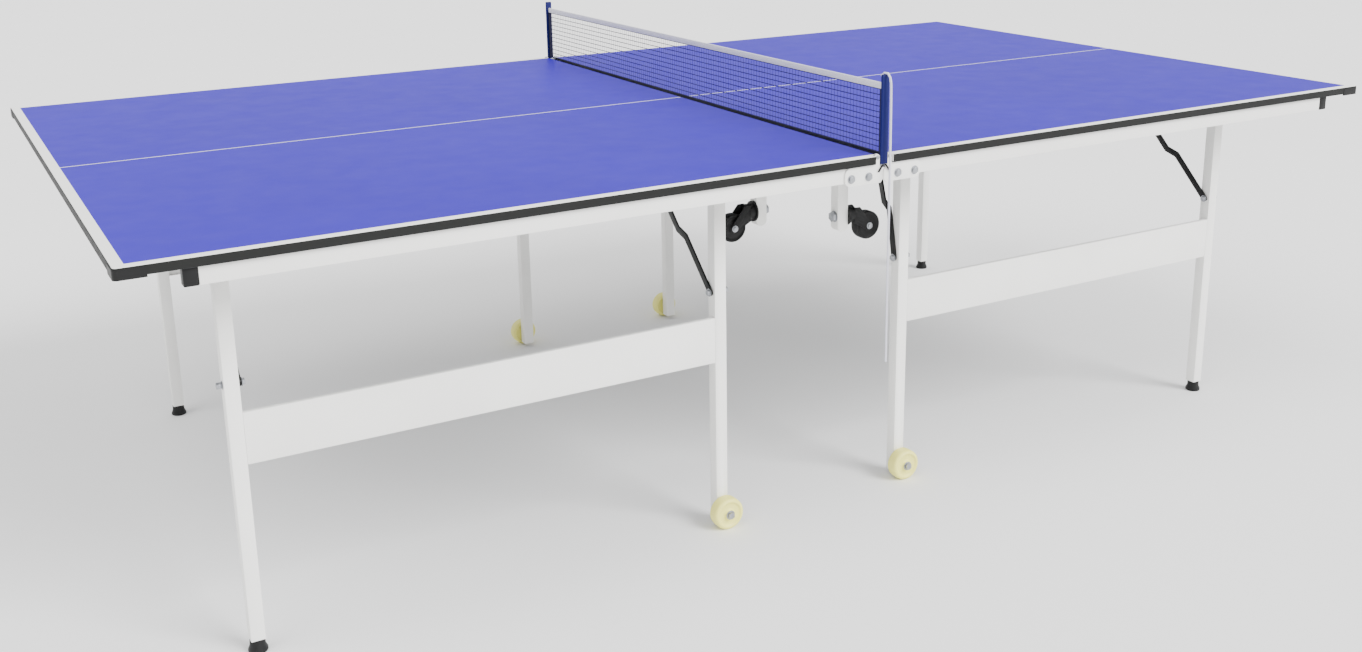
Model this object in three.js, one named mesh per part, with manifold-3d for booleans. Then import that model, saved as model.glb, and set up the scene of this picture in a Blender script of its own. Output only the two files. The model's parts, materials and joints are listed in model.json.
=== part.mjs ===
// A folding table-tennis table: two half tops on folding leg frames, a centre link that both halves
// hinge on, and a net between two posts.  Millimetres, +Z up, origin on the floor under the net.
import * as THREE from 'three';
import { mergeVertices } from 'three/addons/utils/BufferGeometryUtils.js';
import Module from 'manifold-3d';

const wasm = await Module();
wasm.setup();

// ---- driving dimensions ----
const TABLE_LENGTH = 2740;
const TABLE_WIDTH = 1525;
const TABLE_HEIGHT = 760;
const BOARD_THICKNESS = 16;
const CORNER_RADIUS = 8;
const HALF_GAP = 11; // from the centre plane to a board's inner edge
const FIT = 0.3; // between pieces that touch
const SWING = 0.6; // between pieces that swing past each other
const TUBE_WALL = 1.5;

const FOLD_X = 14; // the halves' hinge axes, from the centre plane
const FOLD_DROP = 3; // hinge axes below the playing surface
const LINK_RADIUS = 6.4;
const LINK_WAIST = 1; // top of the link's waist, above the hinge axes
const TONGUE = 7; // half the width of the link's tongue
const TONGUE_DROP = 25; // tongue's lower end below the playing surface
const PLATE = 3;
const HINGE_PLATE_INSET = 8.5; // inner face, from the table's side
const HINGE_PLATE_REACH = 88;
const HINGE_PLATE_DROP = 53;
const EAR_RADIUS = 5.5;

const RAIL_DEPTH = 20;
const RAIL_HEIGHT = 29.7;
const RAIL_START = 22; // from the centre plane
const RAIL_END_INSET = 120; // from the table's end
const CROSSBAR_WIDTH = 50;
const CROSSBAR_HEIGHT = 27.7;
const OUTER_CROSSBAR_INSET = 222; // from the table's end
const INNER_CROSSBAR_X = -222;
const LUG_RADIUS = 15;

const LEG = 25; // square leg tube
const LEG_INSET = 162.5; // outer face, from the table's side
const LEG_PIVOT_DROP = 54; // below the playing surface
const LEG_CLEAR = 6.5; // between a leg and the crossbar beside it
const LEG_TOP = 14; // leg above its pivot
const FOOTED_LEG_BOTTOM = 24;
const WHEELED_LEG_BOTTOM = 9;
const FOOT_RADIUS = 17;
const PANEL_DROP = 319; // upper edge below the playing surface
const PANEL_HEIGHT = 92;
const PANEL_DEPTH = 10;

const WHEEL_RADIUS = 33;
const WHEEL_WIDTH = 29;
const WHEEL_STANDOFF = 2;
const AXLE_RADIUS = 5;
const TURNING = 0.4; // between an axle and its bore

const BRACE_WIDTH = 14;
const BRACE_THICKNESS = 4;
const BRACE_OFF_LEG = 1;
const BRACE_BOLT_DROP = 269; // below the playing surface
const LONG_BRACE = [[0, 0], [92.5, 90], [124.5, 99], [266, 236]]; // inwards from the leg, and above the bolt
const STEEP_BRACE = [[0, 0], [20, 101], [38, 113], [72.4, 224]];

const ARM_WIDTH = 25;
const ARM_GAP = 2; // under the boards
const ARM_HEIGHT = 22;
const ARM_REACH = 70.5; // past the centre plane
const ARM_A_INSET = 225.5; // the arm on -Y, from the table's side
const ARM_B_INSET = 353.5;
const CASTER_POST_LENGTH = 189;
const STEM_HEIGHT = 32; // stem above the post's lower end
const STEM_RADIUS = 5;
const CASTER_RADIUS = 30;
const CASTER_WIDTH = 22;
const CASTER_LEAD = 54; // axle past the post's face
const CASTER_TRAIL = 28; // axle below the stem
const CASTER_AXLE_RADIUS = 4;
const BRIDGE_REACH = 15.5; // the fork's bridge, past the post's face
const BRIDGE_THICKNESS = 5;
const CHEEK = 3; // thickness of the fork's cheeks

const POST_HALF_WIDTH = 8;
const POST_DEPTH = 5.7;
const POST_DROP = 17;
const POST_HEIGHT = 152; // above the playing surface
const NET_THICKNESS = 3;
const NET_LIFT = 1;
const NET_HEIGHT = 136;
const CORD_DIAMETER = 4.5;
const CORD_SIDES = 10;
const CORD_STEPS = 60;

// ---- derived places ----
const HALF_L = TABLE_LENGTH / 2;
const HALF_W = TABLE_WIDTH / 2;
const BOARD_BOTTOM = TABLE_HEIGHT - BOARD_THICKNESS;
const UNDER_BOARD = BOARD_BOTTOM - FIT;
const HINGE_PLATE_Y = HALF_W - HINGE_PLATE_INSET;
const HINGE_PLATE_BOTTOM = TABLE_HEIGHT - HINGE_PLATE_DROP;
const FOLD_Z = TABLE_HEIGHT - FOLD_DROP;
const TONGUE_BOTTOM = TABLE_HEIGHT - TONGUE_DROP;
const LINK_OUTER_Y = HINGE_PLATE_Y - FIT;
const LINK_INNER_Y = LINK_OUTER_Y - PLATE;
const NOTCH_X = FOLD_X + LINK_RADIUS + SWING;
const NOTCH_Y = HALF_W - 14.5;
const RAIL_OUTER_Y = HINGE_PLATE_Y - FIT;
const RAIL_INNER_Y = RAIL_OUTER_Y - RAIL_DEPTH;
const RAIL_END = HALF_L - RAIL_END_INSET;
const CROSSBARS = [-HALF_L + OUTER_CROSSBAR_INSET, INNER_CROSSBAR_X];
const LEG_OUTER_Y = HALF_W - LEG_INSET;
const LEG_Y = LEG_OUTER_Y - LEG / 2;
const LEG_OFFSET = CROSSBAR_WIDTH / 2 + LEG_CLEAR + LEG / 2;
const LEGS_A = CROSSBARS.map((x) => x - LEG_OFFSET); // outer and inner leg of the frame on -Y
const LEGS_B = CROSSBARS.map((x) => x + LEG_OFFSET); // of the frame on +Y
const LEG_PIVOT_Z = TABLE_HEIGHT - LEG_PIVOT_DROP;
const BRACE_BOLT_Z = TABLE_HEIGHT - BRACE_BOLT_DROP;
const PANEL_TOP = TABLE_HEIGHT - PANEL_DROP;
const PANEL_BOTTOM = PANEL_TOP - PANEL_HEIGHT;
const ARM_TOP = BOARD_BOTTOM - ARM_GAP;
const ARM_A_Y = ARM_A_INSET - HALF_W;
const ARM_B_Y = HALF_W - ARM_B_INSET;
const CASTER_POST_BOTTOM = ARM_TOP - CASTER_POST_LENGTH;
const STEM_Z = CASTER_POST_BOTTOM + STEM_HEIGHT;
const CASTER_AXLE_X = ARM_REACH + CASTER_LEAD;
const CASTER_AXLE_Z = STEM_Z - CASTER_TRAIL;
const BRIDGE_X = ARM_REACH + BRIDGE_REACH;
const POST_BOTTOM = TABLE_HEIGHT - POST_DROP;
const POST_TOP = TABLE_HEIGHT + POST_HEIGHT;
const NET_BOTTOM = TABLE_HEIGHT + NET_LIFT;
const NET_TOP = TABLE_HEIGHT + NET_HEIGHT;
const NET_REACH = HINGE_PLATE_Y - FIT;

// ---- helpers ----
const finishes = {
  surface: { color: 0x5a52d0, roughness: 0.45, metalness: 0 },
  white: { color: 0xf6f6f2, roughness: 0.4, metalness: 0.1 },
  steel: { color: 0xa9abaf, roughness: 0.35, metalness: 0.9 },
  black: { color: 0x16171a, roughness: 0.5, metalness: 0.2 },
  cream: { color: 0xf6f4be, roughness: 0.5, metalness: 0 },
  navy: { color: 0x1f2f78, roughness: 0.45, metalness: 0.2 },
  net: { color: 0x20246a, roughness: 0.9, metalness: 0 },
  cord: { color: 0xf0f0ff, roughness: 0.8, metalness: 0 },
};

function piece(name, geometry, finish) {
  const mesh = new THREE.Mesh(geometry, new THREE.MeshStandardMaterial(finishes[finish]));
  mesh.name = name;
  return mesh;
}

function outline(points) {
  const shape = new THREE.Shape();
  points.forEach(([u, v], index) => {
    if (index === 0) shape.moveTo(u, v);
    else shape.lineTo(u, v);
  });
  shape.closePath();
  return shape;
}

// A shape drawn in (y, z) and pushed along +X from x0.
function alongX(shape, x0, length) {
  const geometry = new THREE.ExtrudeGeometry(shape, { depth: length, bevelEnabled: false, curveSegments: 8 });
  const turn = new THREE.Matrix4().set(0, 0, 1, x0, 1, 0, 0, 0, 0, 1, 0, 0, 0, 0, 0, 1);
  return geometry.applyMatrix4(turn);
}

// A shape drawn in (x, z) and pushed along Y, between y0 and y0 + length.
function alongY(shape, y0, length) {
  const geometry = new THREE.ExtrudeGeometry(shape, { depth: length, bevelEnabled: false, curveSegments: 8 });
  return geometry.rotateX(Math.PI / 2).translate(0, y0 + length, 0);
}

// A shape drawn in (x, y) and pushed along +Z from z0.
function alongZ(shape, z0, length) {
  const geometry = new THREE.ExtrudeGeometry(shape, { depth: length, bevelEnabled: false, curveSegments: 8 });
  return geometry.translate(0, 0, z0);
}

function tubeSection(u0, u1, v0, v1) {
  const section = outline([[u0, v0], [u1, v0], [u1, v1], [u0, v1]]);
  const w = TUBE_WALL;
  section.holes.push(outline([[u0 + w, v0 + w], [u0 + w, v1 - w], [u1 - w, v1 - w], [u1 - w, v0 + w]]));
  return section;
}

function block(x0, x1, y0, y1, z0, z1) {
  const geometry = new THREE.BoxGeometry(x1 - x0, y1 - y0, z1 - z0);
  return geometry.translate((x0 + x1) / 2, (y0 + y1) / 2, (z0 + z1) / 2);
}

// A rod along X, its ends at x0 and x1.
function rodX(radius, x0, x1, y, z, sides = 24) {
  const geometry = new THREE.CylinderGeometry(radius, radius, x1 - x0, sides);
  return geometry.rotateZ(Math.PI / 2).translate((x0 + x1) / 2, y, z);
}

function toSolid(geometry) {
  const bare = geometry.clone();
  bare.deleteAttribute('normal');
  bare.deleteAttribute('uv');
  const merged = mergeVertices(bare, 1e-4);
  return new wasm.Manifold(new wasm.Mesh({
    numProp: 3,
    vertProperties: new Float32Array(merged.attributes.position.array),
    triVerts: new Uint32Array(merged.index.array),
  }));
}

function fromSolid(solid) {
  const mesh = solid.getMesh();
  const geometry = new THREE.BufferGeometry();
  geometry.setAttribute('position', new THREE.BufferAttribute(new Float32Array(mesh.vertProperties), 3));
  geometry.setIndex(new THREE.BufferAttribute(new Uint32Array(mesh.triVerts), 1));
  geometry.computeVertexNormals();
  return geometry;
}

function join(...geometries) {
  return fromSolid(geometries.map(toSolid).reduce((sum, next) => sum.add(next)));
}

function cut(geometry, ...tools) {
  return fromSolid(tools.map(toSolid).reduce((rest, next) => rest.subtract(next), toSolid(geometry)));
}

// ---- the half top, drawn for the half on -X ----
function board(name) {
  const r = CORNER_RADIUS;
  const shape = new THREE.Shape();
  shape.moveTo(-HALF_GAP, -NOTCH_Y);
  shape.lineTo(-HALF_GAP, NOTCH_Y);
  shape.lineTo(-NOTCH_X, NOTCH_Y);
  shape.lineTo(-NOTCH_X, HALF_W);
  shape.lineTo(-HALF_L + r, HALF_W);
  shape.absarc(-HALF_L + r, HALF_W - r, r, Math.PI / 2, Math.PI, false);
  shape.lineTo(-HALF_L, -HALF_W + r);
  shape.absarc(-HALF_L + r, -HALF_W + r, r, Math.PI, 1.5 * Math.PI, false);
  shape.lineTo(-NOTCH_X, -HALF_W);
  shape.lineTo(-NOTCH_X, -NOTCH_Y);
  return piece(name, alongZ(shape, BOARD_BOTTOM, BOARD_THICKNESS), 'surface');
}

function rail(name, side) {
  const section = tubeSection(-RAIL_DEPTH / 2, RAIL_DEPTH / 2, UNDER_BOARD - RAIL_HEIGHT, UNDER_BOARD);
  const geometry = alongX(section, -RAIL_END, RAIL_END - RAIL_START);
  return piece(name, geometry.translate(0, side * (RAIL_OUTER_Y - RAIL_DEPTH / 2), 0), 'white');
}

// A tube across the half, with one lug down beside the leg at each end.
function crossbar(name, x) {
  const w = CROSSBAR_WIDTH / 2;
  const reach = RAIL_INNER_Y - FIT;
  const low = UNDER_BOARD - CROSSBAR_HEIGHT;
  const tube = alongY(tubeSection(x - w, x + w, low, UNDER_BOARD), -reach, 2 * reach);
  const thickness = LEG_CLEAR - SWING;
  const lug = (side, x0) => {
    const y = side * LEG_Y;
    const shape = new THREE.Shape();
    shape.moveTo(y - LUG_RADIUS, UNDER_BOARD - 4);
    shape.lineTo(y - LUG_RADIUS, LEG_PIVOT_Z);
    shape.absarc(y, LEG_PIVOT_Z, LUG_RADIUS, Math.PI, 2 * Math.PI, false);
    shape.lineTo(y + LUG_RADIUS, UNDER_BOARD - 4);
    return alongX(shape, x0, thickness + 1);
  };
  return piece(name, join(tube, lug(-1, x - w - thickness), lug(1, x + w - 1)), 'white');
}

function hingePlate(name, side) {
  const top = UNDER_BOARD;
  const low = HINGE_PLATE_BOTTOM;
  const reach = HINGE_PLATE_REACH;
  const r = 14;
  const shape = new THREE.Shape();
  shape.moveTo(-6, low);
  shape.lineTo(-SWING, low + 7);
  shape.lineTo(-SWING, low + 23);
  shape.lineTo(-FOLD_X + EAR_RADIUS, low + 34);
  shape.lineTo(-FOLD_X + EAR_RADIUS, FOLD_Z);
  shape.absarc(-FOLD_X, FOLD_Z, EAR_RADIUS, 0, Math.PI, false);
  shape.lineTo(-FOLD_X - EAR_RADIUS, top);
  shape.lineTo(-reach + r, top);
  shape.absarc(-reach + r, top - r, r, Math.PI / 2, Math.PI, false);
  shape.lineTo(-reach, low + r);
  shape.absarc(-reach + r, low + r, r, Math.PI, 1.5 * Math.PI, false);
  return piece(name, alongY(shape, side > 0 ? HINGE_PLATE_Y : -HINGE_PLATE_Y - PLATE, PLATE), 'white');
}

// ---- the caster arms: a tube that crosses the centre under the boards and turns down to a caster ----
function armOutline(inset, open) {
  const start = CROSSBARS[1] + CROSSBAR_WIDTH / 2 + FIT - open;
  const right = ARM_REACH - inset;
  const left = ARM_REACH - ARM_WIDTH + inset;
  const middle = ARM_REACH - ARM_WIDTH / 2;
  const bottom = CASTER_POST_BOTTOM + ARM_WIDTH / 2;
  const shape = new THREE.Shape();
  shape.moveTo(start, ARM_TOP - ARM_HEIGHT + inset);
  shape.lineTo(left, ARM_TOP - ARM_HEIGHT + inset);
  shape.lineTo(left, bottom);
  shape.absarc(middle, bottom, ARM_WIDTH / 2 - inset, Math.PI, 2 * Math.PI, false);
  shape.lineTo(right, ARM_TOP - inset);
  shape.lineTo(start, ARM_TOP - inset);
  return shape;
}

function casterArm(name, y) {
  const outer = alongY(armOutline(0, 0), y - ARM_WIDTH / 2, ARM_WIDTH);
  const hollow = alongY(armOutline(TUBE_WALL, 5), y - ARM_WIDTH / 2 + TUBE_WALL, ARM_WIDTH - 2 * TUBE_WALL);
  const bore = rodX(STEM_RADIUS + TURNING, ARM_REACH - 2 * ARM_WIDTH, ARM_REACH + 10, y, STEM_Z);
  return piece(name, cut(outer, hollow, bore), 'white');
}

// The swivel stem lies along X through the post, so the caster points sideways while the top is flat.
function casterFork(name, y) {
  const face = ARM_REACH + FIT;
  const inner = CASTER_WIDTH / 2 + 1;
  const outer = inner + CHEEK;
  const cheekShape = new THREE.Shape();
  cheekShape.moveTo(BRIDGE_X, STEM_Z + 15);
  cheekShape.lineTo(BRIDGE_X, STEM_Z - 17);
  cheekShape.lineTo(CASTER_AXLE_X - 5, CASTER_AXLE_Z - 8);
  cheekShape.absarc(CASTER_AXLE_X, CASTER_AXLE_Z, 9.5, 1.3 * Math.PI, 2.3 * Math.PI, false);
  cheekShape.lineTo(BRIDGE_X + 14, STEM_Z + 15);
  const plate = rodX(22, face, face + 4, 0, STEM_Z, 32);
  const housing = rodX(17, face + 3, BRIDGE_X + 2, 0, STEM_Z, 32);
  const bridge = block(BRIDGE_X, BRIDGE_X + BRIDGE_THICKNESS, -outer, outer, STEM_Z - 17, STEM_Z + 15);
  const near = alongY(cheekShape, -outer, CHEEK);
  const far = alongY(cheekShape, inner, CHEEK);
  const stem = rodX(STEM_RADIUS, ARM_REACH - ARM_WIDTH - 7, face + 2, 0, STEM_Z);
  const nut = rodX(9, ARM_REACH - ARM_WIDTH - 7, ARM_REACH - ARM_WIDTH - FIT, 0, STEM_Z, 6);
  const axle = new THREE.CylinderGeometry(CASTER_AXLE_RADIUS, CASTER_AXLE_RADIUS, 2 * outer + 4, 24);
  axle.translate(CASTER_AXLE_X, 0, CASTER_AXLE_Z);
  return piece(name, join(plate, housing, bridge, near, far, stem, nut, axle).translate(0, y, 0), 'black');
}

// A wheel turned about Y: tread with round shoulders, recessed faces and a hub around the bore.
function wheelGeometry(radius, width, bore, hub, shoulder) {
  const w = width / 2;
  const recess = width * 0.12;
  const rim = radius - shoulder;
  const points = [[bore, -w], [hub, -w], [hub + recess, -w + recess], [rim - recess, -w + recess]];
  const turn = (v, from) => {
    for (let step = 0; step <= 4; step += 1) {
      const angle = from + step * Math.PI / 8;
      points.push([rim + shoulder * Math.cos(angle), v + shoulder * Math.sin(angle)]);
    }
  };
  turn(-w + shoulder, -Math.PI / 2);
  turn(w - shoulder, 0);
  points.push([rim - recess, w - recess], [hub + recess, w - recess], [hub, w], [bore, w], [bore, -w]);
  return new THREE.LatheGeometry(points.map(([u, v]) => new THREE.Vector2(u, v)), 40);
}

function casterWheel(name, y) {
  const geometry = wheelGeometry(CASTER_RADIUS, CASTER_WIDTH, CASTER_AXLE_RADIUS + TURNING, 10, 4);
  return piece(name, geometry.translate(CASTER_AXLE_X, y, CASTER_AXLE_Z), 'black');
}

// ---- a leg frame; side is -1 for the frame on -Y and +1 for the one on +Y ----
function leg(name, x, side, bottom) {
  const y = side * LEG_Y;
  const section = tubeSection(x - LEG / 2, x + LEG / 2, y - LEG / 2, y + LEG / 2);
  return piece(name, alongZ(section, bottom, LEG_PIVOT_Z + LEG_TOP - bottom), 'white');
}

function wheeledLeg(name, x, side) {
  const tube = leg(name, x, side, WHEELED_LEG_BOTTOM);
  const inner = LEG_Y - LEG / 2 + TUBE_WALL / 2;
  const outer = LEG_OUTER_Y + WHEEL_STANDOFF + WHEEL_WIDTH + 1;
  const axle = new THREE.CylinderGeometry(AXLE_RADIUS, AXLE_RADIUS, outer - inner, 24);
  axle.translate(x, side * (inner + outer) / 2, WHEEL_RADIUS);
  tube.geometry = join(tube.geometry, axle);
  return tube;
}

function foot(name, x, side) {
  const r = FOOT_RADIUS;
  const top = FOOTED_LEG_BOTTOM - FIT;
  const profile = [[0, 0], [r - 1, 0], [r, 1.5], [r, 5], [r - 3.5, 13], [r - 4, top], [0, top]];
  const geometry = new THREE.LatheGeometry(profile.map(([u, v]) => new THREE.Vector2(u, v)), 32);
  return piece(name, geometry.rotateX(Math.PI / 2).translate(x, side * LEG_Y, 0), 'black');
}

function transportWheel(name, x, side) {
  const geometry = wheelGeometry(WHEEL_RADIUS, WHEEL_WIDTH, AXLE_RADIUS + TURNING, 9, 7);
  const y = side * (LEG_OUTER_Y + WHEEL_STANDOFF + WHEEL_WIDTH / 2);
  return piece(name, geometry.translate(x, y, WHEEL_RADIUS), 'cream');
}

// A sheet between the legs, flush with their outer faces, its long edges folded inwards.
function panel(name, x0, x1, side) {
  const face = side * LEG_OUTER_Y;
  const back = face - side * PANEL_DEPTH;
  const skin = face - side * TUBE_WALL;
  const t = TUBE_WALL;
  const points = [[face, PANEL_BOTTOM], [face, PANEL_TOP], [back, PANEL_TOP], [back, PANEL_TOP - t],
    [skin, PANEL_TOP - t], [skin, PANEL_BOTTOM + t], [back, PANEL_BOTTOM + t], [back, PANEL_BOTTOM]];
  return piece(name, alongX(outline(points), x0, x1 - x0), 'white');
}

// A flat bar along a bent line, its ends rounded.
function strip(line, width) {
  const r = width / 2;
  const point = (index) => new THREE.Vector2(...line[index]);
  const last = line.length - 1;
  const heading = (index) => point(index + 1).sub(point(index)).angle();
  const edge = (index, sign) => {
    const before = heading(index - 1);
    const half = (heading(index) - before) / 2;
    const across = before + half + sign * Math.PI / 2;
    const reach = r / Math.cos(half);
    return point(index).add(new THREE.Vector2(Math.cos(across) * reach, Math.sin(across) * reach));
  };
  const shape = new THREE.Shape();
  const start = heading(0) - Math.PI / 2;
  shape.moveTo(line[0][0] + r * Math.cos(start), line[0][1] + r * Math.sin(start));
  for (let index = 1; index < last; index += 1) {
    const corner = edge(index, -1);
    shape.lineTo(corner.x, corner.y);
  }
  const end = heading(last - 1) - Math.PI / 2;
  shape.absarc(line[last][0], line[last][1], r, end, end + Math.PI, false);
  for (let index = last - 1; index > 0; index -= 1) {
    const corner = edge(index, 1);
    shape.lineTo(corner.x, corner.y);
  }
  shape.absarc(line[0][0], line[0][1], r, start + Math.PI, start + 2 * Math.PI - 0.01, false);
  return shape;
}

// The brace runs from its bolt on the leg inwards and up, to a bracket under the board.
// way is the side of the leg that it lies on, -1 for -X and +1 for +X.
function brace(name, legX, side, way, line) {
  const placed = line.map(([inwards, above]) => [side * (LEG_Y - inwards), BRACE_BOLT_Z + above]);
  const near = LEG / 2 + BRACE_OFF_LEG;
  const x0 = way < 0 ? legX - near - BRACE_THICKNESS : legX + near;
  const shape = strip(side < 0 ? placed : placed.slice().reverse(), BRACE_WIDTH);
  return piece(name, alongX(shape, x0, BRACE_THICKNESS), 'black');
}

function legFrame(prefix, legs, side) {
  const [outer, inner] = legs;
  const reach = LEG / 2 + FIT;
  const frame = new THREE.Group();
  frame.add(leg(`${prefix}_outer_leg`, outer, side, FOOTED_LEG_BOTTOM));
  frame.add(wheeledLeg(`${prefix}_inner_leg`, inner, side));
  frame.add(panel(`${prefix}_panel`, outer + reach, inner - reach, side));
  frame.add(foot(`${prefix}_foot`, outer, side));
  frame.add(transportWheel(`${prefix}_transport_wheel`, inner, side));
  frame.add(brace(`${prefix}_outer_brace`, outer, side, 1, LONG_BRACE));
  frame.add(brace(`${prefix}_inner_brace`, inner, side, side, side < 0 ? LONG_BRACE : STEEP_BRACE));
  return frame;
}

// ---- one half; the other is this half turned half a turn about Z ----
function half(name, sideA, sideB) {
  const group = new THREE.Group();
  group.add(board(`${name}_board`));
  group.add(crossbar(`${name}_outer_crossbar`, CROSSBARS[0]));
  group.add(crossbar(`${name}_inner_crossbar`, CROSSBARS[1]));
  for (const [sideName, side, y] of [[sideA, -1, ARM_A_Y], [sideB, 1, ARM_B_Y]]) {
    group.add(rail(`${name}_${sideName}_rail`, side));
    group.add(hingePlate(`${name}_${sideName}_hinge_plate`, side));
    group.add(casterArm(`${name}_${sideName}_caster_arm`, y));
    group.add(casterFork(`${name}_${sideName}_caster_fork`, y));
    group.add(casterWheel(`${name}_${sideName}_caster_wheel`, y));
  }
  group.add(legFrame(`${name}_${sideA}`, LEGS_A, -1));
  group.add(legFrame(`${name}_${sideB}`, LEGS_B, 1));
  return group;
}

// ---- the centre link, the posts and the net ----
// A plate with a round end about each hinge axis and a tongue below that the net post stands on.
function linkPlate(name, side) {
  const r = LINK_RADIUS;
  const waist = Math.asin(LINK_WAIST / r);
  const shape = new THREE.Shape();
  shape.moveTo(-TONGUE, TONGUE_BOTTOM);
  shape.lineTo(TONGUE, TONGUE_BOTTOM);
  shape.lineTo(TONGUE, FOLD_Z - r);
  shape.lineTo(FOLD_X, FOLD_Z - r);
  shape.absarc(FOLD_X, FOLD_Z, r, -Math.PI / 2, Math.PI - waist, false);
  shape.absarc(-FOLD_X, FOLD_Z, r, waist, 1.5 * Math.PI, false);
  shape.lineTo(-TONGUE, FOLD_Z - r);
  return piece(name, alongY(shape, side > 0 ? LINK_INNER_Y : -LINK_OUTER_Y, PLATE), 'steel');
}

function netPost(name, side) {
  const inner = HINGE_PLATE_Y;
  const y0 = side > 0 ? inner : -inner - POST_DEPTH;
  const w = POST_HALF_WIDTH;
  return piece(name, block(-w, w, y0, y0 + POST_DEPTH, POST_BOTTOM, POST_TOP), 'navy');
}

function net(name) {
  const t = NET_THICKNESS / 2;
  return piece(name, block(-t, t, -NET_REACH, NET_REACH, NET_BOTTOM, NET_TOP), 'net');
}

// The tightening cord of the net: over the top of the near post and straight down outside it.
function drawCord(name) {
  const route = [
    [0, -746, 908], [0, -750, 911.6], [0.3, -754.5, 914.9], [0.8, -759.5, 915.7], [1.5, -764.5, 913.5],
    [2.2, -768, 908.5], [2.8, -769.7, 902], [3.4, -770.2, 893], [3.8, -770.4, 870], [4.2, -770.6, 820],
    [4.4, -770.8, 760], [4.6, -770.8, 700], [4.8, -770.6, 640], [5, -770.4, 580], [5.2, -770.2, 520],
    [5.5, -770.1, 460], [5.8, -770, 400], [6, -770, 350],
  ];
  const curve = new THREE.CatmullRomCurve3(route.map(([x, y, z]) => new THREE.Vector3(x, y, z)));
  const section = [];
  for (let corner = 0; corner < CORD_SIDES; corner += 1) {
    const angle = 2 * Math.PI * corner / CORD_SIDES;
    section.push([CORD_DIAMETER / 2 * Math.cos(angle), CORD_DIAMETER / 2 * Math.sin(angle)]);
  }
  const options = { steps: CORD_STEPS, extrudePath: curve, bevelEnabled: false };
  return piece(name, new THREE.ExtrudeGeometry(outline(section), options), 'cord');
}

// ---- the whole table ----
const table = new THREE.Group();
table.add(half('left', 'near', 'far'));
const right = half('right', 'far', 'near');
right.rotation.z = Math.PI;
table.add(right);
for (const [sideName, side] of [['near', -1], ['far', 1]]) {
  table.add(linkPlate(`${sideName}_link_plate`, side));
  table.add(netPost(`${sideName}_net_post`, side));
}
table.add(net('net'));
table.add(drawCord('draw_cord'));

export default table;
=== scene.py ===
import json
import math

import bmesh
import bpy
from mathutils import Matrix, Vector


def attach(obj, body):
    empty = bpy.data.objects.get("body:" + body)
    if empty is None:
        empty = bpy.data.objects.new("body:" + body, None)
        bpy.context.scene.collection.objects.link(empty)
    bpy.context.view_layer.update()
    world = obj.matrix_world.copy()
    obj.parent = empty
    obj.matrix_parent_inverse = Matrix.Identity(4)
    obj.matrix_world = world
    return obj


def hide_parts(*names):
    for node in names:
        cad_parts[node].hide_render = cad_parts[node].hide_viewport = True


bl_info = {
    "name": "Folding Table Tennis Table",
    "version": (1, 0, 0),
    "blender": (4, 5, 0),
    "location": "View3D > Sidebar > Table Tennis",
    "description": "Builds a folding table tennis table on its packed frame",
    "category": "Object",
}

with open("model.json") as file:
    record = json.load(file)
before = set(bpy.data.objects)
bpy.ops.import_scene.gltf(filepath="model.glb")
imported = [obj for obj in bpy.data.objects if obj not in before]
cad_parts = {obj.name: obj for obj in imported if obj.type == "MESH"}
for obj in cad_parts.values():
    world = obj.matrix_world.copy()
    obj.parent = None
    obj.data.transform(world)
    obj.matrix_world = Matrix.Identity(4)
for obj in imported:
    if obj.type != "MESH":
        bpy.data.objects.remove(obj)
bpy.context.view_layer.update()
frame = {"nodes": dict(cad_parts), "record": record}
RECORD = frame["record"]
BODY_OF = {node: body for body, nodes in RECORD["behaviour"]["bodies"].items() for node in nodes}
SLOT_OF = {part["node"]: part["material_slot"] for part in RECORD["subparts"]}

# Places shared by several pieces, in metres, for the half on -X.
HALF_LENGTH = 1.370
HALF_WIDTH = 0.7625
UNDERSIDE = 0.744
CORNER = 0.008
BAND = 0.002
NOTCH_X = 0.021
GAP_SHADE_EDGE = 0.012  # a little past the board's inner edge; inside it the top gets painted shade for the gap between the halves
LEG_Y = 0.5875
LEG_HALF = 0.0125
LEG_PIVOT_Z = 0.706
BRACE_BOLT_Z = 0.491
LEGS_A = (-1.192, -0.266)
LEGS_B = (-1.104, -0.178)
RAIL_Y = (0.7337, 0.7537)
RAIL_Z = (0.714, 0.7437)
PLATE_FACE_Y = 0.7572
HINGE_BOLTS_X = (-0.034, -0.074)
HINGE_BOLT_Z = 0.722
HINGE_PIN = (-0.014, 0.757)
TRANSPORT_WHEEL_FACE_Y = 0.6322
TRANSPORT_AXLE_Z = 0.033
CASTERS_Y = (-0.537, 0.409)
CASTER_AXLE = (0.1245, 0.557)
CASTER_CHEEK = 0.0152
CASTER_STEM_NUT = (0.0453, 0.585)
BRACE_TOPS = {"long": (0.266, 0.727), "steep": (0.0724, 0.715)}
CORD_ROUTE = (
    (0, -746, 908), (0, -750, 911.6), (0.3, -754.5, 914.9), (0.8, -759.5, 915.7), (1.5, -764.5, 913.5),
    (2.2, -768, 908.5), (2.8, -769.7, 902), (3.4, -770.2, 893), (3.8, -770.4, 870), (4.2, -770.6, 820),
    (4.4, -770.8, 760), (4.6, -770.8, 700), (4.8, -770.6, 640), (5, -770.4, 580), (5.2, -770.2, 520),
    (5.5, -770.1, 460), (5.8, -770, 400), (6, -770, 350),
)


# ---- shaders ----

def linear(colour):
    """An sRGB colour as the linear RGBA that shaders take."""
    return tuple(c / 12.92 if c <= 0.04045 else ((c + 0.055) / 1.055) ** 2.4 for c in colour[:3]) + (1.0,)


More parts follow.
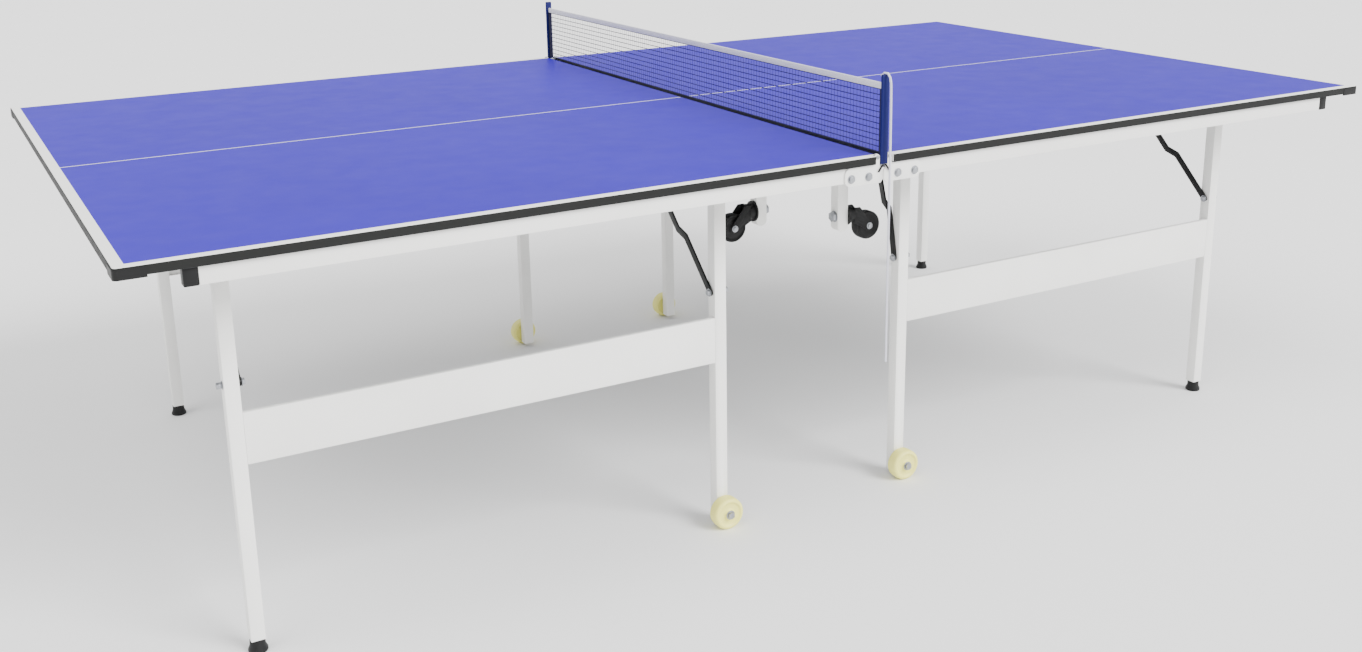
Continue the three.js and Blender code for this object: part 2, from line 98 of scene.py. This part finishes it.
class Field:
    """A shader value that ordinary arithmetic works on."""

    def __init__(self, finish, socket):
        self.finish = finish
        self.socket = socket

    def math(self, operation, *values):
        return self.finish.node("ShaderNodeMath", {"operation": operation}, dict(enumerate(values)))

    def __add__(self, other):
        return self.math("ADD", self, other)

    def __radd__(self, other):
        return self.math("ADD", other, self)

    def __sub__(self, other):
        return self.math("SUBTRACT", self, other)

    def __rsub__(self, other):
        return self.math("SUBTRACT", other, self)

    def __mul__(self, other):
        return self.math("MULTIPLY", self, other)

    def __rmul__(self, other):
        return self.math("MULTIPLY", other, self)

    def __gt__(self, other):
        return self.math("GREATER_THAN", self, other)

    def __lt__(self, other):
        return self.math("LESS_THAN", self, other)

    def __abs__(self):
        return self.math("ABSOLUTE", self)

    def either(self, other):
        return self.math("MAXIMUM", self, other)

    def sine(self):
        return self.math("SINE", self)


class Finish:
    """One material and its node tree."""

    def __init__(self, name, **constants):
        self.material = bpy.data.materials.new(name)
        self.material.use_nodes = True
        self.tree = self.material.node_tree
        self.shader = self.tree.nodes["Principled BSDF"]
        for socket, value in constants.items():
            self.shader.inputs[socket.replace("_", " ")].default_value = value
        self.place = self.node("ShaderNodeTexCoord", out=3)

    def node(self, kind, settings=None, inputs=None, out=0):
        made = self.tree.nodes.new(kind)
        for name, value in (settings or {}).items():
            setattr(made, name, value)
        for key, value in (inputs or {}).items():
            if isinstance(value, Field):
                self.tree.links.new(value.socket, made.inputs[key])
            else:
                made.inputs[key].default_value = value
        return Field(self, made.outputs[out])

    def axis(self, index):
        return self.node("ShaderNodeSeparateXYZ", inputs={0: self.place}, out=index)

    def noise(self, scale, detail=3.0, stretch=None):
        place = self.place
        if stretch:
            place = self.node("ShaderNodeVectorMath", {"operation": "MULTIPLY"}, {0: place, 1: stretch})
        sockets = {"Vector": place, "Scale": scale, "Detail": detail}
        return self.node("ShaderNodeTexNoise", inputs=sockets)

    def blend(self, factor, first, second):
        return self.node("ShaderNodeMix", {"data_type": "RGBA"}, {0: factor, 6: first, 7: second}, out=2)

    def set(self, socket, field):
        self.tree.links.new(field.socket, self.shader.inputs[socket])

    def bump(self, height, strength, distance):
        sockets = {"Strength": strength, "Distance": distance, "Height": height}
        self.set("Normal", self.node("ShaderNodeBump", inputs=sockets))


def shade(colour, amount):
    return tuple(max(0.0, min(1.0, c * amount)) for c in colour)


def coat_finish(name, colour, roughness, spread, grain, relief, wear=0.85, **constants):
    """Paint or plastic: a colour that drifts a little, fine relief and uneven gloss."""
    finish = Finish(name, **constants)
    drift = finish.noise(6.0)
    speckle = finish.noise(grain, 2.0)
    base = finish.blend(drift, linear(shade(colour, wear)), linear(shade(colour, 1.04)))
    finish.set("Base Color", base)
    finish.set("Roughness", roughness - spread / 2 + spread * finish.noise(35.0, 4.0))
    finish.bump(speckle, relief, 0.0004)
    return finish.material


def top_finish(settings):
    """Satin blue paint with the border lines, the thin centre line, painted shade along the inner edge at the gap
    between the halves, and a plain underside.
    """
    finish = Finish("playing_surface_paint", Specular_IOR_Level=0.12)
    x, y, z = abs(finish.axis(0)), abs(finish.axis(1)), finish.axis(2)
    border = settings.border_width
    lines = (x > HALF_LENGTH - border).either(y > HALF_WIDTH - border)
    lines = lines.either(y < settings.centre_line / 2)
    upper = z > UNDERSIDE + 0.002
    blue = settings.top_colour
    paint = finish.blend(finish.noise(3.0), linear(shade(blue, 0.95)), linear(shade(blue, 1.04)))
    marked = finish.blend(lines, paint, linear((0.96, 0.96, 0.95)))
    # Painted shade: a dark navy strip on the inner edge stands in for the shade in the gap between the halves.
    marked = finish.blend(x < GAP_SHADE_EDGE, marked, linear((0.06, 0.06, 0.16)))
    below = finish.blend(finish.noise(40.0, 5.0), linear((0.30, 0.31, 0.33)), linear((0.38, 0.39, 0.41)))
    finish.set("Base Color", finish.blend(upper, below, marked))
    finish.set("Roughness", 0.42 + 0.12 * finish.noise(18.0, 4.0))
    finish.bump(finish.noise(900.0, 2.0), 0.12, 0.0003)
    return finish.material


def metal_finish():
    """Zinc-plated steel with a faint directional grain."""
    finish = Finish("zinc_plate")
    grain = finish.noise(300.0, 3.0, (1.0, 1.0, 0.15))
    finish.set("Base Color", finish.blend(grain, linear((0.52, 0.53, 0.55)), linear((0.74, 0.75, 0.77))))
    finish.set("Roughness", 0.28 + 0.22 * grain)
    finish.shader.inputs["Metallic"].default_value = 0.9
    finish.bump(grain, 0.15, 0.0002)
    return finish.material


def cloth_finish(name, colour, threads, slant=0.0):
    """Woven or braided cloth: crossing ridges of thread."""
    finish = Finish(name, Roughness=0.85)
    y, z = finish.axis(1), finish.axis(2)
    weave = ((y + slant * z) * threads).sine() * ((z - slant * y) * threads).sine()
    mask = 0.5 + 0.5 * weave
    finish.set("Base Color", finish.blend(mask, linear(shade(colour, 0.75)), linear(colour)))
    finish.bump(mask, 0.5, 0.0004)
    return finish.material


def make_finishes(settings):
    white = settings.frame_colour
    black = (0.045, 0.046, 0.05)
    return {
        "surface": top_finish(settings),
        "white_steel": coat_finish("white_powder_coat", white, 0.38, 0.12, 700.0, 0.18, 0.97),
        "steel": metal_finish(),
        "black_steel": coat_finish("black_powder_coat", black, 0.42, 0.15, 800.0, 0.3, 0.8, Specular_IOR_Level=0.3),
        "black_plastic": coat_finish(
            "black_moulded_plastic", black, 0.5, 0.2, 1200.0, 0.35, 0.75, Specular_IOR_Level=0.3),
        "cream_plastic": coat_finish(
            "cream_moulded_plastic", settings.wheel_colour, 0.45, 0.15, 600.0, 0.2, 0.94),
        "navy_steel": coat_finish(
            "navy_powder_coat", (0.04, 0.06, 0.34), 0.5, 0.15, 700.0, 0.2, Specular_IOR_Level=0.2),
        "band": coat_finish(
            "edge_band_vinyl", (0.09, 0.094, 0.09), 0.6, 0.2, 1500.0, 0.4, 0.8, Specular_IOR_Level=0.25),
        "net_cloth": cloth_finish("net_yarn", (0.05, 0.04, 0.2), 4000.0, 1.0),
        "tape": cloth_finish("net_tape_cotton", (0.93, 0.93, 0.95), 5000.0),
        "cord": cloth_finish("cord_braid", (0.92, 0.92, 0.97), 1800.0, 1.0),
    }


FINISHES = {}


# ---- making pieces ----

def nothing_selected():
    if bpy.context.object and bpy.context.object.mode != "OBJECT":
        bpy.ops.object.mode_set(mode="OBJECT")
    bpy.ops.object.select_all(action="DESELECT")


def make_active(piece):
    nothing_selected()
    piece.select_set(True)
    bpy.context.view_layer.objects.active = piece


def settle(piece):
    """Puts the piece's place into its mesh."""
    make_active(piece)
    bpy.ops.object.transform_apply(location=True, rotation=True, scale=True)


def apply_modifiers(piece):
    make_active(piece)
    for modifier in list(piece.modifiers):
        bpy.ops.object.modifier_apply(modifier=modifier.name)


def soften(piece, width, segments=2, angle=40):
    """Rounds the sharp edges and smooths the rest."""
    modifier = piece.modifiers.new("edge_round", "BEVEL")
    modifier.width = width
    modifier.segments = segments
    modifier.limit_method = "ANGLE"
    modifier.angle_limit = math.radians(angle)
    apply_modifiers(piece)
    bpy.ops.object.shade_smooth_by_angle(angle=math.radians(35))


def ready(piece, body, finish):
    """Gives a finished piece its material and the body it moves with."""
    piece.data.materials.clear()
    piece.data.materials.append(FINISHES[finish])
    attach(piece, body)
    return piece


def copy_of(node, name):
    """A new piece with a CAD node's shape, its doubled corners merged."""
    mesh = frame["nodes"][node].data.copy()
    piece = bpy.data.objects.new(name, mesh)
    bpy.context.scene.collection.objects.link(piece)
    make_active(piece)
    bpy.ops.object.mode_set(mode="EDIT")
    bpy.ops.mesh.select_all(action="SELECT")
    bpy.ops.mesh.remove_doubles(threshold=0.00002)
    bpy.ops.mesh.dissolve_limited(angle_limit=math.radians(1))
    bpy.ops.object.mode_set(mode="OBJECT")
    return piece


def stand_in(node, suffix, width, segments=2):
    """A rounded piece that stands for a CAD node."""
    piece = copy_of(node, f"{node}_{suffix}")
    soften(piece, width, segments)
    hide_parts(node)
    return ready(piece, BODY_OF[node], SLOT_OF[node])


def bar(name, low, high, round_by=0.0008):
    """A rounded bar between two corners."""
    centre = (Vector(low) + Vector(high)) / 2
    nothing_selected()
    bpy.ops.mesh.primitive_cube_add(size=1, location=centre)
    piece = bpy.context.object
    piece.name = name
    piece.scale = Vector(high) - Vector(low)
    settle(piece)
    soften(piece, round_by)
    return piece


def bolt_head(name, radius, height, flange):
    """A washer and a hexagon head, standing on the origin and pointing up."""
    nothing_selected()
    washer = 0.0008
    bpy.ops.mesh.primitive_cylinder_add(
        vertices=24, radius=radius * flange, depth=washer, location=(0, 0, washer / 2))
    lower = bpy.context.object
    nothing_selected()
    middle = washer + (height - washer) / 2
    bpy.ops.mesh.primitive_cylinder_add(vertices=6, radius=radius, depth=height - washer, location=(0, 0, middle))
    piece = bpy.context.object
    lower.select_set(True)
    bpy.context.view_layer.objects.active = piece
    bpy.ops.object.join()
    piece.name = name
    settle(piece)
    soften(piece, radius * 0.09)
    return piece


def bolt(name, at, direction, body, radius=0.0065, height=0.0045, flange=1.3):
    piece = bolt_head(name, radius, height, flange)
    turn = Vector(direction).to_track_quat("Z", "Y").to_matrix().to_4x4()
    piece.data.transform(Matrix.Translation(Vector(at)) @ turn)
    return ready(piece, body, "steel")


def halves():
    """Each half's name, the turn that puts it in place, and its side names for -Y and +Y at the left."""
    yield "left", Matrix.Identity(4), ("near", "far")
    yield "right", Matrix.Rotation(math.pi, 4, "Z"), ("far", "near")


def turned(point, turn):
    return turn @ Vector(point)


def brace_side(sign, place):
    """The side of the leg that its brace lies on, -1 for -X and +1 for +X, at the left half."""
    return 1 if place == "outer" else sign


def rim(name, out_x, out_y, thickness, low, high, corner):
    """A strip that runs round the outer end of the left half."""
    nothing_selected()
    bpy.ops.mesh.primitive_plane_add(size=1, location=((0.2 - out_x) / 2, 0, low))
    piece = bpy.context.object
    piece.name = name
    piece.scale = (out_x + 0.2, 2 * out_y, 1)
    settle(piece)
    bpy.ops.object.mode_set(mode="EDIT")
    edit = bmesh.from_edit_mesh(piece.data)
    for vertex in edit.verts:
        vertex.select = vertex.co.x < -1.0
    edit.select_flush(True)
    bpy.ops.mesh.select_mode(type="VERT")
    bpy.ops.mesh.bevel(offset=corner, segments=6, affect="VERTICES")
    bpy.ops.mesh.select_all(action="SELECT")
    bpy.ops.mesh.inset(thickness=thickness)
    bpy.ops.mesh.delete(type="FACE")
    bpy.ops.mesh.select_all(action="SELECT")
    bpy.ops.mesh.bisect(plane_co=(-NOTCH_X, 0, 0), plane_no=(1, 0, 0), clear_outer=True)
    bpy.ops.mesh.select_all(action="SELECT")
    bpy.ops.mesh.extrude_region_move(TRANSFORM_OT_translate={"value": (0, 0, high - low)})
    bpy.ops.mesh.select_all(action="SELECT")
    bpy.ops.mesh.normals_make_consistent(inside=False)
    bpy.ops.object.mode_set(mode="OBJECT")
    return piece


def keep_corner(piece, reach, sign):
    """Cuts a rim down to one of its corners."""
    make_active(piece)
    bpy.ops.object.mode_set(mode="EDIT")
    cuts = (((reach - HALF_LENGTH, 0, 0), (1, 0, 0)), ((0, sign * (HALF_WIDTH - reach), 0), (0, -sign, 0)))
    for point, normal in cuts:
        bpy.ops.mesh.select_all(action="SELECT")
        bpy.ops.mesh.bisect(plane_co=point, plane_no=normal, clear_outer=True, use_fill=True)
    bpy.ops.mesh.select_all(action="SELECT")
    bpy.ops.mesh.normals_make_consistent(inside=False)
    bpy.ops.object.mode_set(mode="OBJECT")


def put(piece, turn, body, finish):
    piece.data.transform(turn)
    return ready(piece, body, finish)


# ---- properties ----

class TableTennisSettings(bpy.types.PropertyGroup):
    top_colour: bpy.props.FloatVectorProperty(
        name="Top colour", description="Paint of the playing surface", subtype="COLOR",
        default=(0.17, 0.04, 0.65), min=0, max=1)
    frame_colour: bpy.props.FloatVectorProperty(
        name="Frame colour", description="Powder coat of the frame", subtype="COLOR",
        default=(0.97, 0.965, 0.95), min=0, max=1)
    wheel_colour: bpy.props.FloatVectorProperty(
        name="Wheel colour", description="Plastic of the transport wheels", subtype="COLOR",
        default=(0.98, 0.95, 0.52), min=0, max=1)
    border_width: bpy.props.FloatProperty(
        name="Border line", description="Width of the white line round the top", unit="LENGTH", default=0.020)
    centre_line: bpy.props.FloatProperty(
        name="Centre line", description="Width of the line down the middle", unit="LENGTH", default=0.003)
    mesh_pitch: bpy.props.FloatProperty(
        name="Net pitch", description="Distance between the net's yarns", unit="LENGTH", default=0.0105)


# ---- pieces ----

class PINGPONG_OT_tops(bpy.types.Operator):
    """Builds both half tops with their edge bands and corner protectors"""
    bl_idname = "pingpong.tops"
    bl_label = "Tops"

    def execute(self, context):
        for half, turn, sides in halves():
            node, body = f"{half}_board", f"{half}_half"
            piece = copy_of(node, f"{half}_top")
            self.pull_in(piece, turn)
            soften(piece, 0.0005, 1)
            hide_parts(node)
            ready(piece, body, "surface")
            band = rim(
                f"{half}_edge_band", HALF_LENGTH - 0.0006, HALF_WIDTH - 0.0006, 0.0015, 0.7447, 0.7594, 0.0075)
            put(band, turn, body, "band")
            for side, sign in zip(sides, (-1, 1)):
                guard = rim(
                    f"{half}_{side}_corner_guard", HALF_LENGTH, HALF_WIDTH, 0.0030, 0.7412, 0.7575, CORNER)
                keep_corner(guard, 0.048, sign)
                put(guard, turn, body, "black_plastic")
        return {"FINISHED"}

    def pull_in(self, piece, turn):
        """Moves the outer edge in by the band's thickness."""
        side, end, corner = HALF_WIDTH, HALF_LENGTH, CORNER
        piece.data.transform(turn.inverted())
        for vertex in piece.data.vertices:
            x, y = vertex.co.x, vertex.co.y
            sign = 1 if y > 0 else -1
            middle = Vector((corner - end, sign * (side - corner)))
            if x < middle.x + 1e-5 and abs(y) > abs(middle.y) - 1e-5:
                flat = middle + (Vector((x, y)) - middle) * ((corner - BAND) / corner)
                vertex.co.x, vertex.co.y = flat
            elif abs(y) > side - 1e-4:
                vertex.co.y = sign * (side - BAND)
        piece.data.transform(turn)


class PINGPONG_OT_rails(bpy.types.Operator):
    """Builds the side rails with their end caps and the crossbars"""
    bl_idname = "pingpong.rails"
    bl_label = "Rails and crossbars"

    def execute(self, context):
        for half, turn, sides in halves():
            body = f"{half}_half"
            for place in ("outer", "inner"):
                stand_in(f"{half}_{place}_crossbar", "tube", 0.0012)
            for side, sign in zip(sides, (-1, 1)):
                stand_in(f"{half}_{side}_rail", "tube", 0.0007)
                y0, y1 = sorted((sign * (RAIL_Y[0] - 0.0004), sign * (RAIL_Y[1] + 0.0004)))
                low, high = (-1.273, y0, RAIL_Z[0] - 0.0004), (-1.2503, y1, RAIL_Z[1])
                cap = bar(f"{half}_{side}_rail_cap", low, high, 0.0018)
                put(cap, turn, body, "black_plastic")
        return {"FINISHED"}


class PINGPONG_OT_hinges(bpy.types.Operator):
    """Builds the hinge plates, the centre links, their bolts and pins"""
    bl_idname = "pingpong.hinges"
    bl_label = "Centre hinges"

    def execute(self, context):
        for half, turn, sides in halves():
            body = f"{half}_half"
            for side, sign in zip(sides, (-1, 1)):
                stand_in(f"{half}_{side}_hinge_plate", "plate", 0.0006)
                out = turn.to_3x3() @ Vector((0, sign, 0))
                for index, x in enumerate(HINGE_BOLTS_X):
                    at = turned((x, sign * PLATE_FACE_Y, HINGE_BOLT_Z), turn)
                    bolt(f"{half}_{side}_hinge_bolt_{index}", at, out, body)
                pin = turned((HINGE_PIN[0], sign * PLATE_FACE_Y, HINGE_PIN[1]), turn)
                bolt(f"{half}_{side}_hinge_pin", pin, out, body, 0.0032, 0.0025)
        for side in ("near", "far"):
            stand_in(f"{side}_link_plate", "plate", 0.0005)
        return {"FINISHED"}


class PINGPONG_OT_legs(bpy.types.Operator):
    """Builds the leg frames with panels, feet and cross bolts"""
    bl_idname = "pingpong.legs"
    bl_label = "Leg frames"

    def execute(self, context):
        for half, turn, sides in halves():
            for side, sign, legs in zip(sides, (-1, 1), (LEGS_A, LEGS_B)):
                body = f"{half}_{side}_legs"
                prefix = f"{half}_{side}"
                stand_in(f"{prefix}_panel", "sheet", 0.0006)
                stand_in(f"{prefix}_foot", "cap", 0.0006)
                for place, x in zip(("outer", "inner"), legs):
                    stand_in(f"{prefix}_{place}_leg", "tube", 0.0007)
                    self.cross_bolts(f"{prefix}_{place}", x, sign, brace_side(sign, place), turn, body)
        return {"FINISHED"}

    def cross_bolts(self, prefix, x, sign, way, turn, body):
        """Bolt ends through the leg at its pivot and at its brace, which lies on the side way gives."""
        y = sign * LEG_Y
        ends = (("pivot", LEG_PIVOT_Z, 0.0003, sign), ("brace", BRACE_BOLT_Z, 0.0055, way))
        for label, z, reach, side in ends:
            head = turned((x + side * (LEG_HALF + reach), y, z), turn)
            bolt(f"{prefix}_{label}_head", head, turn.to_3x3() @ Vector((side, 0, 0)), body, 0.0062, 0.005)
        tail = turned((x - way * (LEG_HALF + 0.0003), y, BRACE_BOLT_Z), turn)
        bolt(f"{prefix}_brace_nut", tail, turn.to_3x3() @ Vector((-way, 0, 0)), body, 0.0058, 0.0095)


class PINGPONG_OT_transport_wheels(bpy.types.Operator):
    """Builds the four transport wheels and their axle bolts"""
    bl_idname = "pingpong.transport_wheels"
    bl_label = "Transport wheels"

    def execute(self, context):
        for half, turn, sides in halves():
            for side, sign, legs in zip(sides, (-1, 1), (LEGS_A, LEGS_B)):
                prefix = f"{half}_{side}"
                stand_in(f"{prefix}_transport_wheel", "moulding", 0.0009)
                out = turn.to_3x3() @ Vector((0, sign, 0))
                at = turned((legs[1], sign * TRANSPORT_WHEEL_FACE_Y, TRANSPORT_AXLE_Z), turn)
                bolt(f"{prefix}_axle_bolt", at, out, f"{prefix}_legs", 0.0075, 0.006)
        return {"FINISHED"}


class PINGPONG_OT_braces(bpy.types.Operator):
    """Builds the folding braces and the brackets at their upper ends"""
    bl_idname = "pingpong.braces"
    bl_label = "Braces"

    def execute(self, context):
        for half, turn, sides in halves():
            for side, sign, legs in zip(sides, (-1, 1), (LEGS_A, LEGS_B)):
                for place, x in zip(("outer", "inner"), legs):
                    prefix = f"{half}_{side}_{place}"
                    stand_in(f"{prefix}_brace", "bar", 0.0005)
                    way = brace_side(sign, place)
                    top = BRACE_TOPS["steep" if sign > 0 and place == "inner" else "long"]
                    if sign < 0 and place == "outer":
                        self.crossbar_bolt(prefix, x, sign, top, turn)
                    else:
                        self.bracket(prefix, x, sign, way, top, turn, f"{half}_half")
        return {"FINISHED"}

    def crossbar_bolt(self, prefix, x, sign, brace_top, turn):
        """This brace ends beside the crossbar, so its upper bolt goes into that."""
        inwards, z = brace_top
        at = turned((x + LEG_HALF + 0.0008, sign * (LEG_Y - inwards), z), turn)
        body = BODY_OF[f"{prefix}_brace"]
        bolt(f"{prefix}_upper_bolt", at, turn.to_3x3() @ Vector((-1, 0, 0)), body, 0.005, 0.0035)

    def bracket(self, prefix, x, sign, way, brace_top, turn, body):
        """A tab down from the board that the brace's upper end is bolted to."""
        inwards, z = brace_top
        y = sign * (LEG_Y - inwards)
        face = x + way * (LEG_HALF + 0.001 + 0.004 + 0.0008)
        x0, x1 = sorted((face, face + way * 0.002))
        tab = bar(f"{prefix}_bracket", (x0, y - 0.013, z - 0.009), (x1, y + 0.013, UNDERSIDE - 0.0004), 0.0006)
        put(tab, turn, body, "black_steel")
        at = turned((face + way * 0.0022, y, z), turn)
        bolt(f"{prefix}_bracket_bolt", at, turn.to_3x3() @ Vector((way, 0, 0)), body, 0.005, 0.0035)


class PINGPONG_OT_casters(bpy.types.Operator):
    """Builds the caster arms, forks and wheels"""
    bl_idname = "pingpong.casters"
    bl_label = "Casters"

    def execute(self, context):
        for half, turn, sides in halves():
            for side, y in zip(sides, CASTERS_Y):
                prefix = f"{half}_{side}_caster"
                stand_in(f"{prefix}_arm", "tube", 0.0007)
                stand_in(f"{prefix}_fork", "moulding", 0.0006)
                stand_in(f"{prefix}_wheel", "moulding", 0.0008)
                swivel = f"{half}_{side}_swivel"
                nut = turned((CASTER_STEM_NUT[0], y, CASTER_STEM_NUT[1]), turn)
                inwards = turn.to_3x3() @ Vector((-1, 0, 0))
                bolt(f"{prefix}_stem_nut", nut, inwards, swivel, 0.0108, 0.0078, 1.1)
                for label, way in (("a", -1), ("b", 1)):
                    at = turned((CASTER_AXLE[0], y + way * CASTER_CHEEK, CASTER_AXLE[1]), turn)
                    direction = turn.to_3x3() @ Vector((0, way, 0))
                    bolt(f"{prefix}_axle_nut_{label}", at, direction, swivel, 0.0055, 0.004)
        return {"FINISHED"}


class PINGPONG_OT_net(bpy.types.Operator):
    """Builds the posts, clips, net, tape, hems and tightening cord"""
    bl_idname = "pingpong.net"
    bl_label = "Net and posts"

    def execute(self, context):
        pitch = context.scene.table_tennis.mesh_pitch
        tape = bar("net_tape", (-0.0021, -0.7532, 0.8838), (0.0021, 0.7532, 0.8958), 0.0009)
        ready(tape, "centre", "tape")
        hems = []
        for side, sign in (("near", -1), ("far", 1)):
            y0, y1 = sorted((sign * 0.7435, sign * 0.7534))
            hem = bar(f"{side}_net_hem", (-0.0026, y0, 0.7618), (0.0026, y1, 0.8835), 0.0009)
            hems.append(ready(hem, "centre", "net_cloth"))
            stand_in(f"{side}_net_post", "tube", 0.0012)
            self.clip(side, sign)
        self.net(pitch, [tape] + hems)
        self.cord()
        return {"FINISHED"}

    def clip(self, side, sign):
        """The black fork under the post that grips the centre link."""
        y0, y1 = sorted((sign * 0.7578, sign * 0.7608))
        for index, way in enumerate((-1, 1)):
            leg = bar(f"{side}_clip_leg_{index}", (0.0018, y0, 0.7285), (0.0052, y1, 0.7425), 0.0007)
            make_active(leg)
            for vertex in leg.data.vertices:
                if vertex.co.z < 0.735:
                    vertex.co.x += 0.009
                vertex.co.x *= way
            if way < 0:
                leg.data.flip_normals()
            ready(leg, "centre", "black_plastic")

    def yarns(self, name, low, high, step, count):
        """A row of like yarns."""
        piece = bar(name, low, high, 0.0003)
        row = piece.modifiers.new("row", "ARRAY")
        row.count = count
        row.use_relative_offset = False
        row.use_constant_offset = True
        row.constant_offset_displace = step
        apply_modifiers(piece)
        return piece

    def net(self, pitch, with_pieces):
        """Crossing yarns between the hems, below the tape."""
        y0, y1, z0, z1, yarn, thin = -0.7433, 0.7433, 0.7616, 0.8836, 0.0015, 0.0006
        rows = int((z1 - z0) / pitch) + 1
        columns = int((y1 - y0) / pitch)
        level = (z1 - z0 - yarn) / (rows - 1)
        across = (y1 - y0) / columns
        half = yarn / 2
        slim = thin / 2
        piece = self.yarns("net_mesh", (-half, y0, z0), (half, y1, z0 + yarn), (0, 0, level), rows)
        low, high = (-slim, y0 + across - slim, z0 + 0.0002), (slim, y0 + across + slim, z1 - 0.0002)
        upright = self.yarns("net_uprights", low, high, (0, across, 0), columns - 1)
        make_active(piece)
        upright.select_set(True)
        bpy.ops.object.join()
        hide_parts("net")
        ready(piece, "centre", "net_cloth")

    def cord(self):
        """The white cord over the near post."""
        curve = bpy.data.curves.new("tightening_cord", "CURVE")
        curve.dimensions = "3D"
        curve.bevel_depth = 0.00225
        curve.bevel_resolution = 3
        curve.use_fill_caps = True
        points = [Vector(point) / 1000 for point in CORD_ROUTE]
        fine = self.even(self.smooth(points, 24), 60)
        spline = curve.splines.new("POLY")
        spline.points.add(len(fine) - 1)
        for target, point in zip(spline.points, fine):
            target.co = (*point, 1)
        piece = bpy.data.objects.new("tightening_cord", curve)
        bpy.context.scene.collection.objects.link(piece)
        curve.materials.append(FINISHES["cord"])
        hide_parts("draw_cord")
        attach(piece, "centre")
        length = sum((b - a).length for a, b in zip(fine, fine[1:]))

    def even(self, line, steps):
        """Points at even distances along a line."""
        far = [0.0]
        for a, b in zip(line, line[1:]):
            far.append(far[-1] + (b - a).length)
        picked, index = [], 0
        for step in range(steps):
            want = far[-1] * step / steps
            while far[index + 1] < want:
                index += 1
            share = (want - far[index]) / (far[index + 1] - far[index])
            picked.append(line[index].lerp(line[index + 1], share))
        return picked + [line[-1]]

    def smooth(self, points, steps):
        """Points along a smooth line through the given ones."""
        ends = [2 * points[0] - points[1], *points, 2 * points[-1] - points[-2]]
        line = []
        for a, b, c, d in zip(ends, ends[1:], ends[2:], ends[3:]):
            for step in range(steps):
                t = step / steps
                line.append(0.5 * (2 * b + (c - a) * t + (2 * a - 5 * b + 4 * c - d) * t * t
                                   + (3 * b - a - 3 * c + d) * t ** 3))
        return line + [points[-1]]


class PINGPONG_OT_stage(bpy.types.Operator):
    """Builds the camera, the pale floor and the soft lights"""
    bl_idname = "pingpong.stage"
    bl_label = "Camera and stage"

    def execute(self, context):
        camera = bpy.data.objects.new("camera", bpy.data.cameras.new("camera"))
        context.scene.collection.objects.link(camera)
        turn = Matrix.Rotation(-0.51148, 4, "Z") @ Matrix.Rotation(math.pi / 2 - 0.2693, 4, "X")
        turn = turn @ Matrix.Rotation(-0.01553, 4, "Z")
        camera.matrix_world = Matrix.Translation((-1.60669, -2.85267, 1.33785)) @ turn
        camera.data.sensor_fit = "HORIZONTAL"
        camera.data.sensor_width = 36
        camera.data.lens = 37.62
        camera.data.shift_x = -0.003
        camera.data.shift_y = -0.0693
        camera.data.clip_end = 100
        context.scene.camera = camera
        nothing_selected()
        bpy.ops.mesh.primitive_plane_add(size=40, location=(0, 0, 0))
        floor = context.object
        floor.name = "floor"
        pale = Finish("floor_pale", Roughness=0.9)
        pale.set("Base Color", pale.blend(pale.noise(0.5), (0.86, 0.86, 0.86, 1), (0.9, 0.9, 0.9, 1)))
        floor.data.materials.append(pale.material)
        world = bpy.data.worlds.new("soft_room")
        world.use_nodes = True
        world.node_tree.nodes["Background"].inputs[0].default_value = (1, 1, 1, 1)
        world.node_tree.nodes["Background"].inputs[1].default_value = 1.2
        context.scene.world = world
        for name, place, angle, strength in (
            ("key_light", (2.2, -4.2, 4.0), 30, 4.6), ("fill_light", (-3.0, -1.0, 5.0), 45, 1.6)):
            lamp = bpy.data.objects.new(name, bpy.data.lights.new(name, "SUN"))
            lamp.data.angle = math.radians(angle)
            lamp.data.energy = strength
            lamp.location = place
            lamp.rotation_mode = "QUATERNION"
            lamp.rotation_quaternion = (Vector((0, 0, 0.5)) - Vector(place)).to_track_quat("-Z", "Y")
            context.scene.collection.objects.link(lamp)
        return {"FINISHED"}


class PINGPONG_PT_sidebar(bpy.types.Panel):
    """Lists the table's pieces and their settings"""
    bl_label = "Table Tennis Table"
    bl_idname = "PINGPONG_PT_sidebar"
    bl_space_type = "VIEW_3D"
    bl_region_type = "UI"
    bl_category = "Table Tennis"

    def draw(self, context):
        settings = context.scene.table_tennis
        for name in ("top_colour", "frame_colour", "wheel_colour", "border_width", "centre_line", "mesh_pitch"):
            self.layout.prop(settings, name)
        for operator in OPERATORS:
            self.layout.operator(operator.bl_idname)


OPERATORS = (
    PINGPONG_OT_stage, PINGPONG_OT_net, PINGPONG_OT_tops, PINGPONG_OT_rails, PINGPONG_OT_hinges,
    PINGPONG_OT_legs, PINGPONG_OT_transport_wheels, PINGPONG_OT_braces, PINGPONG_OT_casters,
)
CLASSES = (TableTennisSettings, *OPERATORS, PINGPONG_PT_sidebar)


def register():
    for each in CLASSES:
        bpy.utils.register_class(each)
    bpy.types.Scene.table_tennis = bpy.props.PointerProperty(type=TableTennisSettings)


def unregister():
    del bpy.types.Scene.table_tennis
    for each in reversed(CLASSES):
        bpy.utils.unregister_class(each)


def main():
    register()
    FINISHES.update(make_finishes(bpy.context.scene.table_tennis))
    for operator in OPERATORS:
        group, name = operator.bl_idname.split(".")
        getattr(getattr(bpy.ops, group), name)()


if __name__ == "__main__":
    main()
